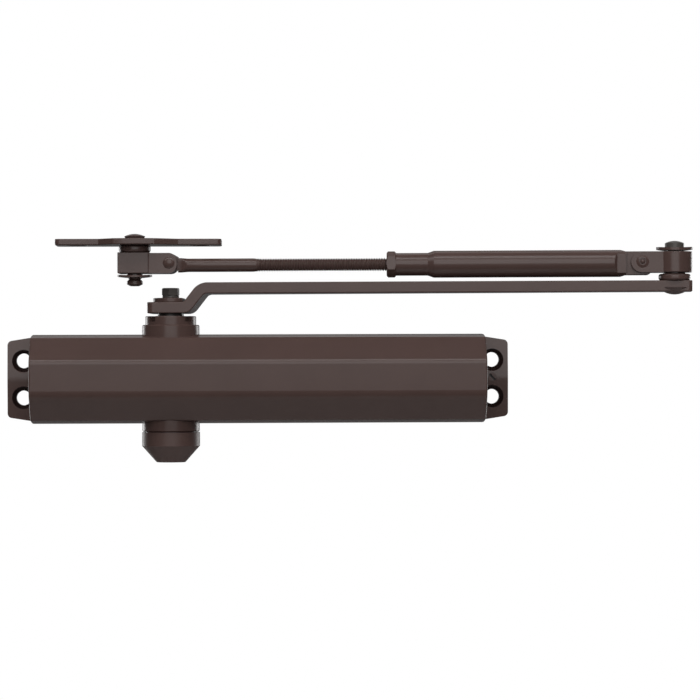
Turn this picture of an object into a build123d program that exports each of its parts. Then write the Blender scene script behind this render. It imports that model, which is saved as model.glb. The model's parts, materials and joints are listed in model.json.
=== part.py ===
from build123d import *
import math
import os

# A surface door closer: cast hydraulic body, folded main arm and forearm, and the shoe plate.
# Millimetres. X runs along the body to the right, Y into the door and Z up.
# The origin is the centre of the four door screws, on the door face, so the closer lies at Y < 0.

# Clearances, all radial or per side
STATIC_FIT = 0.03     # between pieces that don't move on each other
RUN_FIT = 0.05        # shafts, pins and the piston
SIDE_FIT = 0.1        # flat cheeks that slide on each other
STACK_GAP = 0.05      # between stacked faces that turn on each other

# Door screws and feet
SCREW_SPACING_X = 241.3
SCREW_SPACING_Z = 19.05
SCREW_HOLE_R = 3.8
COUNTERSINK_R = 6.15
COUNTERSINK_HALF_DEG = 41.0
FOOT_THICK = 7.0      # along the middle; the front falls away to both edges
FOOT_EDGE_THICK = 6.0
FOOT_RIDGE_R = 30.0
FOOT_BEYOND_SCREWS = 8.1
FOOT_END_HEIGHT = 39.0
FOOT_CORNER_R = 2.4

# Body block
BLOCK_LENGTH = 228.6
BODY_HEIGHT = 45.0
BACK_HEIGHT = 43.6
FRONT_FLAT_HEIGHT = 17.4
CROWN_R = 63.0
CROWN_REACH = 15.0    # crowned top, measured forward from the pinion axis
FRONT_REACH = 25.0    # front face, measured forward from the pinion axis
FRONT_TOP_EDGE_R = 3.5
FRONT_LOW_EDGE_R = 7.5
FACET_EDGE_R = 2.0
END_EDGE_R = 0.8
FOOT_INTO_BLOCK = 5.0
SQUARE_END_DEPTH = 6.75  # the block's end edges stay sharp behind this, inside the feet

# Pinion axis and bosses
PINION_X = -44.4
PINION_DEPTH = 27.0
BOSS_R = 14.5
UPPER_BOSS_TOP = 27.3
LOWER_BOSS_TOP = 26.6
BOSS_CHAMFER = 0.5

# Cylinder bore, piston and spring
BORE_R = 17.0
PLUG_R = 18.0
PLUG_LENGTH = 12.0
PLUG_HEX = 10.0
PLUG_HEX_DEPTH = 5.0
PLUG_GROOVE_AT = 9.0
ORING_R = 0.95
PISTON_LEFT_HEAD = 15.0
PISTON_RIGHT_HEAD = 18.5
PISTON_RING_WIDTH = 2.0
PISTON_RING_DEPTH = 1.4
SLOT_END_ROOM = 1.0
SPRING_OUTER_R = 15.0
SPRING_WIRE_R = 2.1
SPRING_TURNS = 13
SPRING_SEAT_THICK = 2.3
SPRING_PILOT_R = 9.5
SPRING_PILOT_LENGTH = 4.0
CHECK_BALL_R = 2.8
CHECK_BORE_R = 3.1
CHECK_SEAT_R = 1.6
CHECK_BORE_DEPTH = 8.0
CHECK_RING_THICK = 1.5

# Rack and pinion
GEAR_MODULE = 1.5
GEAR_TEETH = 12
PRESSURE_DEG = 25.0
BACKLASH = 0.16
ROOT_CLEARANCE = 0.35
GEAR_HALF_WIDTH = 12.8
RACK_HALF_WIDTH = 12.0
OPENING_DEG = 175.0
FLANK_STEPS = 4

# Pinion shaft, bearings and packing nuts
COLLAR_R = 9.6
COLLAR_START = 13.2
JOURNAL_R = 8.0
BEARING_R = 11.0
BEARING_LENGTH = 4.6
JOURNAL_START = 17.3
NECK_R = 6.6
SQUARE_ACROSS = 9.6
SQUARE_ROUND_R = 6.3
LOWER_SQUARE_LENGTH = 4.8
NUT_R = 12.85
NUT_HEIGHT = 4.4
NUT_EDGE_R = 0.4
NUT_NOTCH_WIDTH = 4.2
NUT_NOTCH_DEPTH = 2.8
NUT_NOTCHES = 4
NUT_NOTCH_REACH = 3.4
SEAL_R = 0.95
NUT_TO_ARM = 1.4

# Dust cap under the lower boss
CAP_R = 14.65
CAP_GAP = 0.3
CAP_STRAIGHT = 6.9
CAP_CONE = 7.5
CAP_CONE_R = 8.0
CAP_BOTTOM = 0.8
CAP_WALL = 1.75

# Valves
VALVE_R = 2.1
VALVE_SLOT_WIDTH = 1.1
VALVE_SLOT_DEPTH = 1.8
VALVE_ORING_R = 0.5
VALVE_GROOVE_PART = 0.6   # place of the seal groove, as a part of the screw's length
BACKCHECK_LENGTH = 5.5
BACKCHECK_Z = 0.5
END_VALVE_LENGTH = 16.0
END_VALVE_DEPTH = 10.5
END_VALVE_HEIGHT = 16.5
SWEEP_PORT_X = -62.0
LATCH_PORT_X = -92.0
PASSAGE_R = 1.0
PASSAGE_PAST_PORT = 2.5
PORT_R = 0.75
BACKCHECK_PORT_X = 94.0
PASSAGE_DEPTH = 3.4
PASSAGE_BALL_R = 1.4
PASSAGE_BALL_INSET = 2.0

# Main arm
ARM_LENGTH = 254.0
ARM_YAW = 5.42        # degrees, elbow towards the viewer
ARM_THICK = 5.6
ARM_RISE = 9.8
ARM_HUB_HALF = 12.1
ARM_HUB_BEYOND = 10.8
ARM_HUB_CORNER_R = 3.0
ARM_TIP_HALF = 6.0
ARM_TIP_BEYOND = 8.7
ARM_TIP_CORNER_R = 2.2
ARM_EDGE_R = 0.5
ARM_BEND_AT = 13.1    # middle of the sloping part
ARM_BEND_DEG = 52.0
HUB_BEND_OUTER_R = 5.5
HUB_BEND_INNER_R = 2.0
TOP_BEND_OUTER_R = 9.0
TOP_BEND_INNER_R = 3.4
SHAFT_SHORT_OF_HUB = 0.5

# Clamp stack on the hub
WASHER_R = 8.9
WASHER_EDGE_R = 0.4
WASHER_FLAT_AT = 6.7   # straight side of the washer, beside the bend
WASHER_THICK = 2.2
LOCK_R = 4.25
LOCK_THICK = 1.2
LOCK_EDGE_R = 0.35
LOCK_SPLIT = 0.8
LOCK_SPLIT_TURN = 60.0
SCREW_R = 2.5
SCREW_LENGTH = 16.0
SCREW_HEX = 8.0
SCREW_HEX_HEIGHT = 3.9
SCREW_HEX_TURN = 24.6
HEX_CHAMFER_DEG = 40.0
TAP_DEPTH = 15.0

# Elbow
STUD_R = 4.8
STUD_SHANK_R = 3.4
STUD_HEAD_R = 8.2
STUD_HEAD_HEIGHT = 3.5
STUD_HEAD_PROUD = 1.4
STUD_TOP_HEIGHT = 2.2
STUD_CROWN = 1.2
BUSH_R = 8.0
BUSH_FLANGE = 3.3
BUSH_EDGE_R = 1.2
BUSH_COLLAR_R = 5.6
BUSH_COLLAR = 0.65
BARREL_R = 8.85
BARREL_EDGE_R = 0.4
KNUCKLE_HEIGHT = 10.4
KNUCKLE_EAR_HALF = 6.4
ELBOW_PIN_AT = 16.4
ELBOW_PIN_RAISE = 0.15
ELBOW_EAR_R = 5.15
ELBOW_EAR_BEYOND = 0.5
ELBOW_SLOT_START = 8.5
ELBOW_PIN_R = 2.3
ELBOW_PIN_HEAD_R = 3.2
ELBOW_PIN_HEAD = 0.7
ELBOW_PIN_DIMPLE_R = 1.8
ELBOW_PIN_DIMPLE = 0.35
CLIP_R = 9.1
CLIP_RING = 3.4
CLIP_THICK = 1.25
CLIP_SAG = 0.5
CLIP_PRONG = 3.2
CLIP_GROOVE = 1.1
CLIP_LIFT = 0.55
CLIP_GROOVE_ROOM = 0.2

# Forearm tube, rod and jam nut, measured from the elbow axis towards the shoe
FOREARM_REACH = 271.2
FOREARM_YAW = 3.6     # degrees, shoe away from the viewer
FOREARM_DROP = 0.55   # tube and rod axis below the middle of the knuckles
TUBE_R = 6.78
TUBE_BORE_R = 4.9
TUBE_END = 12.05
TUBE_END_CORNER_R = 2.0
TUBE_FLAT_END = 24.6
TUBE_FLAT_HALF = 3.8
TUBE_FLAT_HEIGHT = 11.8
TUBE_TAPER_END = 30.4
TUBE_PRESSED = 2.0     # how far the sides are pressed in beside the milled cheeks
TUBE_PRESS_RUN = 1.5
TUBE_RELIEF_WIDTH = 0.7
TUBE_RELIEF_DEPTH = 0.4
TUBE_BORE_START = 33.0
TUBE_LENGTH_FULL = 120.6
TUBE_CONE = 3.0
TUBE_NECK_R = 5.7
TUBE_NECK_END = 139.5
NUT_HEX = 11.5
NUT_THICK = 4.7
NUT_TURN = 6.0
ROD_R = 3.28         # a quarter inch thread with its paint
ROD_SHANK_R = 3.38
ROD_PITCH = 1.27
ROD_THREAD_DEPTH = 0.62
ROD_THREAD_CREST = 0.16
ROD_INNER_END = 100.0
ROD_THREADS = 87
TONGUE_HALF = 2.3
TONGUE_HEIGHT = 7.2
TONGUE_LENGTH = 5.8
TONGUE_TAPER = 3.2
TONGUE_ROUND_R = 3.75

# Shoe knuckle, pivot pin and plate
SHOE_PIN_AT = 17.8
SHOE_PIN_RAISE = 0.4
SHOE_BLOCK_WIDTH = 16.2
SHOE_BLOCK_HALF = 6.7
SHOE_KNUCKLE_RAISE = 0.7   # top of the block above that of the elbow's knuckle
SHOE_KNUCKLE_LIFT = 0.5   # underside of the block above that of the elbow's knuckle
SHOE_EAR_STEP = 0.45      # top of the ears below that of the block
SHOE_EAR_EDGE_R = 0.6
SHOE_BLOCK_EDGE_R = 0.4
SHOE_EAR_HALF = 7.4
SHOE_EAR_BEYOND = 3.9
SHOE_EAR_OVERLAP = 0.8
SHOE_EAR_CORNER_R = 4.0
SHOE_CROSS_R = 1.9
SHOE_CROSS_HEAD_R = 2.9
SHOE_CROSS_HEAD = 1.0
SHOE_SLOT_ROOM = 0.6
PIVOT_R = 4.0
PIVOT_HEAD_R = 5.3
PIVOT_HEAD_SEAT_R = 4.4
PIVOT_HEAD_SEAT = 1.4
PIVOT_HEAD_DOME = 1.3
PIVOT_NECK_R = 3.0
PIVOT_NECK = 0.9
PIVOT_UNDER_CLIP_R = 3.6
PIVOT_BULB = 3.3
PIVOT_BULB_EDGE = 0.9
SHOE_BUSH_FLANGE = 3.55
SHOE_BUSH_COLLAR = 0.1
SHOE_CLIP_R = 8.7
SHOE_CLIP_THICK = 0.95
SHOE_CLIP_SAG = 0.45
SHOE_CLIP_DROP = 0.5
SHOE_THICK = 3.1
SHOE_HALF_LENGTH = 41.85
SHOE_OFFSET = 1.9      # middle of the plate, along it from the pivot
SHOE_LOBE_FRONT = 13.4
SHOE_LOBE_CORNER = 12.2
SHOE_LOBE_HALF = 10.4
SHOE_EAR_START = 20.0
SHOE_EAR_FRONT = -5.6
SHOE_EAR_DEPTH = 19.0
SHOE_CORNER_R = 2.5
SHOE_LOBE_CORNER_R = 1.0
SHOE_EDGE_R = 0.5
SHOE_SCREW_SPACING = 62.0
SHOE_HOLE_R = 2.8
SHOE_COUNTERSINK_R = 5.4

# Worked-out places
PINION_Y = -PINION_DEPTH
FRONT_Y = PINION_Y - FRONT_REACH
HALF_BLOCK = BLOCK_LENGTH / 2
HALF_BODY = BODY_HEIGHT / 2
FOOT_END_X = SCREW_SPACING_X / 2 + FOOT_BEYOND_SCREWS
PLUG_INNER_X = HALF_BLOCK - PLUG_LENGTH

GEAR_R = GEAR_MODULE * GEAR_TEETH / 2
GEAR_TIP_R = GEAR_R + GEAR_MODULE
GEAR_ROOT_R = GEAR_R - GEAR_MODULE - ROOT_CLEARANCE
RACK_ROOT = GEAR_R + GEAR_MODULE + ROOT_CLEARANCE
TRAVEL = GEAR_R * math.radians(OPENING_DEG)

SLOT_LEFT = PINION_X - TRAVEL - GEAR_TIP_R - SLOT_END_ROOM
SLOT_RIGHT = PINION_X + GEAR_TIP_R + SLOT_END_ROOM
PISTON_LEFT = SLOT_LEFT - PISTON_LEFT_HEAD
PISTON_RIGHT = SLOT_RIGHT + PISTON_RIGHT_HEAD
PISTON_R = BORE_R - RUN_FIT
SPRING_END = PLUG_INNER_X - SPRING_SEAT_THICK

NUT_TOP = UPPER_BOSS_TOP + NUT_HEIGHT
HUB_BOTTOM = NUT_TOP + NUT_TO_ARM
HUB_TOP = HUB_BOTTOM + ARM_THICK
ARM_BOTTOM = HUB_BOTTOM + ARM_RISE
ARM_TOP = ARM_BOTTOM + ARM_THICK
SHAFT_TOP = HUB_TOP - SHAFT_SHORT_OF_HUB
WASHER_TOP = HUB_TOP + WASHER_THICK
LOCK_TOP = WASHER_TOP + LOCK_THICK
LOWER_NUT_BOTTOM = -LOWER_BOSS_TOP - NUT_HEIGHT
BEARING_END = JOURNAL_START + STACK_GAP + BEARING_LENGTH

STUD_HEAD_TOP = ARM_BOTTOM - STUD_HEAD_PROUD + STUD_HEAD_HEIGHT
BUSH_BOTTOM = ARM_TOP + STACK_GAP
BUSH_TOP = BUSH_BOTTOM + BUSH_FLANGE + BUSH_COLLAR
KNUCKLE_BOTTOM = BUSH_TOP + STACK_GAP
KNUCKLE_TOP = KNUCKLE_BOTTOM + KNUCKLE_HEIGHT
KNUCKLE_MID = (KNUCKLE_BOTTOM + KNUCKLE_TOP) / 2
FOREARM_Z = KNUCKLE_MID - FOREARM_DROP
ELBOW_PIN_Z = KNUCKLE_MID + ELBOW_PIN_RAISE
CLIP_BOTTOM = KNUCKLE_TOP + CLIP_LIFT
SHOE_KNUCKLE_BOTTOM = KNUCKLE_BOTTOM + SHOE_KNUCKLE_LIFT
SHOE_KNUCKLE_TOP = KNUCKLE_TOP + SHOE_KNUCKLE_RAISE
SHOE_PIN_Z = KNUCKLE_MID + SHOE_PIN_RAISE
SHOE_BOTTOM = SHOE_KNUCKLE_TOP + STACK_GAP + SHOE_BUSH_COLLAR + SHOE_BUSH_FLANGE
SHOE_TOP = SHOE_BOTTOM + SHOE_THICK
SHOE_CLIP_TOP = SHOE_KNUCKLE_BOTTOM - STACK_GAP - SHOE_CLIP_DROP
SHOE_CLIP_BOTTOM = SHOE_CLIP_TOP - SHOE_CLIP_THICK - SHOE_CLIP_SAG
CROSS_AT = FOREARM_REACH - SHOE_PIN_AT

ELBOW_X = PINION_X + ARM_LENGTH * math.cos(math.radians(ARM_YAW))
ELBOW_Y = PINION_Y - ARM_LENGTH * math.sin(math.radians(ARM_YAW))
SHOE_X = ELBOW_X - FOREARM_REACH * math.cos(math.radians(FOREARM_YAW))
SHOE_Y = ELBOW_Y + FOREARM_REACH * math.sin(math.radians(FOREARM_YAW))

PINION_FRAME = Location((PINION_X, PINION_Y, 0))
ARM_FRAME = Location((PINION_X, PINION_Y, 0), (0, 0, -ARM_YAW))
FOREARM_FRAME = Location((ELBOW_X, ELBOW_Y, 0), (0, 0, 180 - FOREARM_YAW))
SHOE_FRAME = Location((SHOE_X, SHOE_Y, 0))

LOW = (Align.CENTER, Align.CENTER, Align.MIN)
PAST = 1.0            # how far a cutting tool runs past the face that it opens


def cyl_z(radius, z0, z1, x=0.0, y=0.0):
    """Upright cylinder between two heights."""
    return Pos(x, y, z0) * Cylinder(radius, z1 - z0, align=LOW)


def cyl_x(radius, x0, x1, y=0.0, z=0.0):
    """Cylinder along X between two places."""
    return Pos(x0, y, z) * Rot(0, 90, 0) * Cylinder(radius, x1 - x0, align=LOW)


def cyl_y(radius, y0, y1, x=0.0, z=0.0):
    """Cylinder along Y between two places."""
    return Pos(x, y0, z) * Rot(-90, 0, 0) * Cylinder(radius, y1 - y0, align=LOW)


def block(x0, x1, y0, y1, z0, z1):
    """Box between two corners."""
    middle = Pos((x0 + x1) / 2, (y0 + y1) / 2, (z0 + z1) / 2)
    return middle * Box(x1 - x0, y1 - y0, z1 - z0)


def turned(points):
    """Solid of revolution about Z from (radius, height) points."""
    return revolve(Plane.XZ * make_face(Polyline(*points, close=True)), Axis.Z)


def cap(radius, height):
    """Spherical cap standing on Z = 0."""
    ball_r = (radius ** 2 + height ** 2) / (2 * height)
    ball = Pos(0, 0, height - ball_r) * Sphere(ball_r)
    return ball & cyl_z(radius + PAST, 0, height + PAST)


def hexagon(across, height):
    """Hexagonal prism standing on Z = 0, with a corner on X."""
    return extrude(RegularPolygon(across / 2, 6, major_radius=False), height)


def chamfered_hexagon(across, height):
    """Hexagonal prism whose corners are turned down at both ends, as on a nut or screw head."""
    corner_r = across / math.sqrt(3)
    fall = (corner_r - across / 2) * math.tan(math.radians(HEX_CHAMFER_DEG))
    return hexagon(across, height) & turned([
        (0, 0), (across / 2, 0), (corner_r, fall),
        (corner_r, height - fall), (across / 2, height), (0, height),
    ])


def countersunk(hole_r, head_r, depth):
    """Cutter for a countersunk hole: its face is Z = 0, and it runs down to -depth."""
    cone_depth = (head_r - hole_r) / math.tan(math.radians(COUNTERSINK_HALF_DEG))
    shank = cyl_z(hole_r, -depth - PAST, PAST)
    head = Pos(0, 0, -cone_depth) * Cone(hole_r, head_r, cone_depth, align=LOW)
    return shank + head


def body_profile():
    """Section of the body block across X, as (Y, Z)."""
    crown_y = PINION_Y - CROWN_REACH
    half_reach = CROWN_REACH / 2

    def crown_z(reach):
        return HALF_BODY - CROWN_R + math.sqrt(CROWN_R ** 2 - reach ** 2)

    edges = [
        Line((0, -BACK_HEIGHT / 2), (0, BACK_HEIGHT / 2)),
        Line((FRONT_Y, -FRONT_FLAT_HEIGHT / 2), (FRONT_Y, FRONT_FLAT_HEIGHT / 2)),
    ]
    for side in (1, -1):
        edges += [
            Line((0, side * BACK_HEIGHT / 2), (PINION_Y, side * HALF_BODY)),
            ThreePointArc(
                (PINION_Y, side * HALF_BODY),
                (PINION_Y - half_reach, side * crown_z(half_reach)),
                (crown_y, side * crown_z(CROWN_REACH)),
            ),
            Line((crown_y, side * crown_z(CROWN_REACH)), (FRONT_Y, side * FRONT_FLAT_HEIGHT / 2)),
        ]
    return make_face(edges)


def body_foot():
    """Right-hand foot, from inside the block to its outer end."""
    inner_x = HALF_BLOCK - FOOT_INTO_BLOCK
    outline = make_face(
        Polyline(
            (inner_x, -BACK_HEIGHT / 2),
            (HALF_BLOCK, -BACK_HEIGHT / 2),
            (FOOT_END_X, -FOOT_END_HEIGHT / 2),
            (FOOT_END_X, FOOT_END_HEIGHT / 2),
            (HALF_BLOCK, BACK_HEIGHT / 2),
            (inner_x, BACK_HEIGHT / 2),
            close=True,
        )
    )
    corners = outline.vertices().sort_by(Axis.X)[-2:]
    outline = fillet(corners, FOOT_CORNER_R)
    half = BACK_HEIGHT / 2
    section = make_face(
        Polyline(
            (0, -half),
            (0, half),
            (-FOOT_EDGE_THICK, half),
            (-FOOT_THICK, 0),
            (-FOOT_EDGE_THICK, -half),
            close=True,
        )
    )
    section = fillet(section.vertices().sort_by(Axis.X)[0], FOOT_RIDGE_R)
    ridged = extrude(Plane.YZ.offset(inner_x) * section, FOOT_END_X - inner_x)
    return ridged & extrude(Plane.XZ * outline, FOOT_THICK)


def end_valve_tools(port_x, side):
    """Hole, oil passage and port of one valve in the left end face."""
    y = -END_VALVE_DEPTH
    z = side * END_VALVE_HEIGHT
    hole = cyl_x(VALVE_R + RUN_FIT, -HALF_BLOCK - PAST, -HALF_BLOCK + END_VALVE_LENGTH, y, z)
    passage = cyl_x(PASSAGE_R, -HALF_BLOCK, port_x + PASSAGE_PAST_PORT, y, z)
    to_bore = math.hypot(PINION_Y - y, z)
    port_turn = math.degrees(math.atan2(PINION_Y - y, -z))
    port = Cylinder(PORT_R, to_bore - BORE_R + PAST, align=LOW)
    return hole + passage + Pos(port_x, y, z) * Rot(-port_turn, 0, 0) * port


def closer_body():
    casting = extrude(Plane.YZ.offset(-HALF_BLOCK) * body_profile(), BLOCK_LENGTH)
    front_edges = casting.edges().filter_by(Axis.X).sort_by(Axis.Y)[:2]
    casting = fillet(front_edges.sort_by(Axis.Z)[0], FRONT_LOW_EDGE_R)
    front_edges = [e for e in casting.edges().filter_by(Axis.X) if e.center().Y < FRONT_Y + STATIC_FIT]
    casting = fillet(ShapeList(front_edges).sort_by(Axis.Z)[-1], FRONT_TOP_EDGE_R)
    long_edges = casting.edges().filter_by(Axis.X)
    facet_y = PINION_Y - CROWN_REACH
    facet_edges = [e for e in long_edges if abs(e.center().Y - facet_y) < STATIC_FIT]
    casting = fillet(facet_edges, FACET_EDGE_R)
    end_edges = casting.faces().filter_by(Axis.X).edges()
    front_end_edges = [e for e in end_edges if e.center().Y < -SQUARE_END_DEPTH]
    casting = fillet(front_end_edges, END_EDGE_R)

    foot = body_foot()
    casting += foot + mirror(foot, about=Plane.YZ)
    bosses = cyl_z(BOSS_R, -LOWER_BOSS_TOP, UPPER_BOSS_TOP)
    bosses = chamfer(bosses.edges().filter_by(GeomType.CIRCLE), BOSS_CHAMFER)
    casting += PINION_FRAME * bosses

    casting -= cyl_x(BORE_R, -HALF_BLOCK, HALF_BLOCK, PINION_Y)
    for x0, x1 in ((-HALF_BLOCK - PAST, -PLUG_INNER_X), (PLUG_INNER_X, HALF_BLOCK + PAST)):
        casting -= cyl_x(PLUG_R, x0, x1, PINION_Y)
    bearing_hole = cyl_z(BEARING_R + STATIC_FIT, -LOWER_BOSS_TOP - PAST, UPPER_BOSS_TOP + PAST)
    casting -= PINION_FRAME * bearing_hole

    screw = Rot(90, 0, 0) * countersunk(SCREW_HOLE_R, COUNTERSINK_R, FOOT_THICK)
    for x in (-SCREW_SPACING_X / 2, SCREW_SPACING_X / 2):
        for z in (-SCREW_SPACING_Z / 2, SCREW_SPACING_Z / 2):
            casting -= Pos(x, -FOOT_THICK, z) * screw

    valve_x = SCREW_SPACING_X / 2
    casting -= cyl_y(VALVE_R + RUN_FIT, -FOOT_THICK - PAST, -FOOT_THICK + BACKCHECK_LENGTH,
                     valve_x, BACKCHECK_Z)
    casting -= cyl_x(PASSAGE_R, BACKCHECK_PORT_X - PASSAGE_PAST_PORT, FOOT_END_X + PAST,
                     -PASSAGE_DEPTH, BACKCHECK_Z)
    ball_seat_x = FOOT_END_X - PASSAGE_BALL_INSET - PASSAGE_BALL_R
    casting -= cyl_x(PASSAGE_BALL_R + STATIC_FIT, ball_seat_x, FOOT_END_X + PAST,
                     -PASSAGE_DEPTH, BACKCHECK_Z)
    casting -= cyl_y(PORT_R, PINION_Y + BORE_R - PAST, -PASSAGE_DEPTH,
                     BACKCHECK_PORT_X, BACKCHECK_Z)
    casting -= end_valve_tools(SWEEP_PORT_X, 1)
    casting -= end_valve_tools(LATCH_PORT_X, -1)
    return casting


def end_plug():
    """Screw plug of the bore, with its outer face at Z = 0 and its body below."""
    plug = cyl_z(PLUG_R - STATIC_FIT, -PLUG_LENGTH, 0)
    plug -= Pos(0, 0, -PLUG_HEX_DEPTH) * hexagon(PLUG_HEX, PLUG_HEX_DEPTH + PAST)
    groove_z = -PLUG_GROOVE_AT
    groove_r = PLUG_R - 2 * ORING_R
    groove = cyl_z(PLUG_R + PAST, groove_z - ORING_R - RUN_FIT, groove_z + ORING_R + RUN_FIT)
    return plug - (groove - cyl_z(groove_r - 2 * STATIC_FIT, -PLUG_LENGTH, 0))


def end_plug_oring():
    groove_z = -PLUG_GROOVE_AT
    return Pos(0, 0, groove_z) * Torus(PLUG_R - ORING_R - STATIC_FIT, ORING_R - STATIC_FIT)


PLUG_PLACES = {
    "spring": Pos(HALF_BLOCK, PINION_Y, 0) * Rot(0, 90, 0),
    "pinion": Pos(-HALF_BLOCK, PINION_Y, 0) * Rot(0, -90, 0),
}


def packing_nut(boss_top):
    """Notched ring nut for a boss whose rim is at height boss_top."""
    nut_top = boss_top + NUT_HEIGHT
    skirt_end = BEARING_END + STACK_GAP
    flange = cyl_z(NUT_R, boss_top, nut_top)
    rim = flange.edges().filter_by(GeomType.CIRCLE).sort_by(Axis.Z)[-1]
    nut = fillet(rim, NUT_EDGE_R) + cyl_z(BEARING_R, skirt_end, boss_top)
    nut -= cyl_z(NECK_R + RUN_FIT, skirt_end - PAST, nut_top + PAST)
    groove_r = NECK_R + 2 * RUN_FIT + 2 * SEAL_R
    nut -= cyl_z(groove_r, boss_top - SEAL_R - RUN_FIT, boss_top + SEAL_R + RUN_FIT)
    notch = block(NUT_R - NUT_NOTCH_REACH, NUT_R + PAST, -NUT_NOTCH_WIDTH / 2, NUT_NOTCH_WIDTH / 2,
                  nut_top - NUT_NOTCH_DEPTH, nut_top + PAST)
    for i in range(NUT_NOTCHES):
        nut -= Rot(0, 0, (i + 0.5) * 360 / NUT_NOTCHES) * notch
    return nut


def shaft_seal(boss_top):
    return Pos(0, 0, boss_top) * Torus(NECK_R + RUN_FIT + SEAL_R, SEAL_R)


def shaft_bearing():
    start = JOURNAL_START + STACK_GAP
    sleeve = cyl_z(BEARING_R, start, BEARING_END)
    return sleeve - cyl_z(JOURNAL_R + RUN_FIT, start - PAST, BEARING_END + PAST)


UPSIDE_DOWN = Rot(180, 0, 0)


def pinion_cap():
    top = -LOWER_BOSS_TOP - CAP_GAP
    shoulder = top - CAP_STRAIGHT
    cone_end = shoulder - CAP_CONE
    outer = turned([
        (0, top), (CAP_R, top), (CAP_R, shoulder), (CAP_CONE_R, cone_end),
        (CAP_CONE_R - CAP_BOTTOM, cone_end - CAP_BOTTOM), (0, cone_end - CAP_BOTTOM),
    ])
    room_r = NUT_R + STATIC_FIT
    cone_turn = math.atan2(CAP_R - CAP_CONE_R, CAP_CONE)
    inner_floor = cone_end - CAP_BOTTOM + CAP_WALL
    wall_along = CAP_WALL / math.cos(cone_turn)
    floor_r = CAP_R - wall_along - (shoulder - inner_floor) * math.tan(cone_turn)
    inner_shoulder = shoulder - (CAP_R - wall_along - room_r) / math.tan(cone_turn)
    inner = turned([
        (0, top + PAST), (room_r, top + PAST), (room_r, inner_shoulder),
        (floor_r, inner_floor), (0, inner_floor),
    ])
    return outer - inner


def gear_outline():
    """Involute pinion with a tooth gap facing +Y."""
    base_r = GEAR_R * math.cos(math.radians(PRESSURE_DEG))
    half_tooth = (math.pi * GEAR_MODULE / 2 - BACKLASH / 2) / (2 * GEAR_R)

    def involute(angle):
        return math.tan(angle) - angle

    def polar(radius, angle):
        return (radius * math.cos(angle), radius * math.sin(angle))

    def half_angle(radius):
        at_pitch = involute(math.radians(PRESSURE_DEG))
        return half_tooth + at_pitch - involute(math.acos(min(1.0, base_r / radius)))

    start_r = max(base_r, GEAR_ROOT_R)
    flank = [start_r + (GEAR_TIP_R - start_r) * i / FLANK_STEPS for i in range(FLANK_STEPS + 1)]
    step = 2 * math.pi / GEAR_TEETH
    foot_angle = half_angle(start_r)
    edges = []
    for tooth in range(GEAR_TEETH):
        middle = math.pi / 2 + (tooth + 0.5) * step
        rising = [polar(r, middle - half_angle(r)) for r in flank]
        falling = [polar(r, middle + half_angle(r)) for r in reversed(flank)]
        next_foot = middle + step - foot_angle
        root_start = polar(GEAR_ROOT_R, middle + foot_angle)
        root_end = polar(GEAR_ROOT_R, next_foot)
        edges += [
            Line(polar(GEAR_ROOT_R, middle - foot_angle), rising[0]),
            Spline(*rising),
            ThreePointArc(rising[-1], polar(GEAR_TIP_R, middle), falling[0]),
            Spline(*falling),
            Line(falling[-1], root_start),
            ThreePointArc(root_start, polar(GEAR_ROOT_R, middle + step / 2), root_end),
        ]
    return make_face(edges)


def square_end(z0, z1):
    square = block(-SQUARE_ACROSS / 2, SQUARE_ACROSS / 2, -SQUARE_ACROSS / 2, SQUARE_ACROSS / 2, z0, z1)
    return Rot(0, 0, -ARM_YAW) * (square & cyl_z(SQUARE_ROUND_R, z0, z1))


def pinion_shaft():
    gear = Pos(0, 0, -GEAR_HALF_WIDTH) * extrude(gear_outline(), 2 * GEAR_HALF_WIDTH)
    shaft = gear + cyl_z(GEAR_ROOT_R, -COLLAR_START, COLLAR_START)
    lower_neck_end = LOWER_NUT_BOTTOM - NUT_TO_ARM
    for neck_end, direction in ((HUB_BOTTOM, 1), (-lower_neck_end, -1)):
        side = cyl_z(COLLAR_R, COLLAR_START, JOURNAL_START)
        side += cyl_z(JOURNAL_R, JOURNAL_START, BEARING_END)
        side += cyl_z(NECK_R, BEARING_END, neck_end)
        shaft += side if direction > 0 else UPSIDE_DOWN * side
    shaft += square_end(HUB_BOTTOM, SHAFT_TOP)
    shaft += square_end(lower_neck_end - LOWER_SQUARE_LENGTH, lower_neck_end)
    return shaft - cyl_z(SCREW_R + STATIC_FIT, SHAFT_TOP - TAP_DEPTH, SHAFT_TOP + PAST)


def rack_tooth():
    """One rack tooth centred on X = 0, with its tip towards the pinion."""
    half_pitch_line = (math.pi * GEAR_MODULE / 2 - BACKLASH / 2) / 2
    slope = math.tan(math.radians(PRESSURE_DEG))
    tip = half_pitch_line - GEAR_MODULE * slope
    root_half = half_pitch_line + (RACK_ROOT - GEAR_R) * slope
    face = make_face(Polyline(
        (-tip, GEAR_R - GEAR_MODULE), (tip, GEAR_R - GEAR_MODULE), (root_half, RACK_ROOT),
        (root_half, RACK_ROOT + PAST), (-root_half, RACK_ROOT + PAST), (-root_half, RACK_ROOT),
        close=True,
    ))
    return Pos(0, 0, -RACK_HALF_WIDTH) * extrude(face, 2 * RACK_HALF_WIDTH)


def piston_ring_places():
    """Left ends of the ring grooves, one in the middle of each head."""
    left = PISTON_LEFT + (PISTON_LEFT_HEAD - PISTON_RING_WIDTH) / 2
    right = SLOT_RIGHT + (PISTON_RIGHT_HEAD - PISTON_RING_WIDTH) / 2
    return left, right


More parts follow.
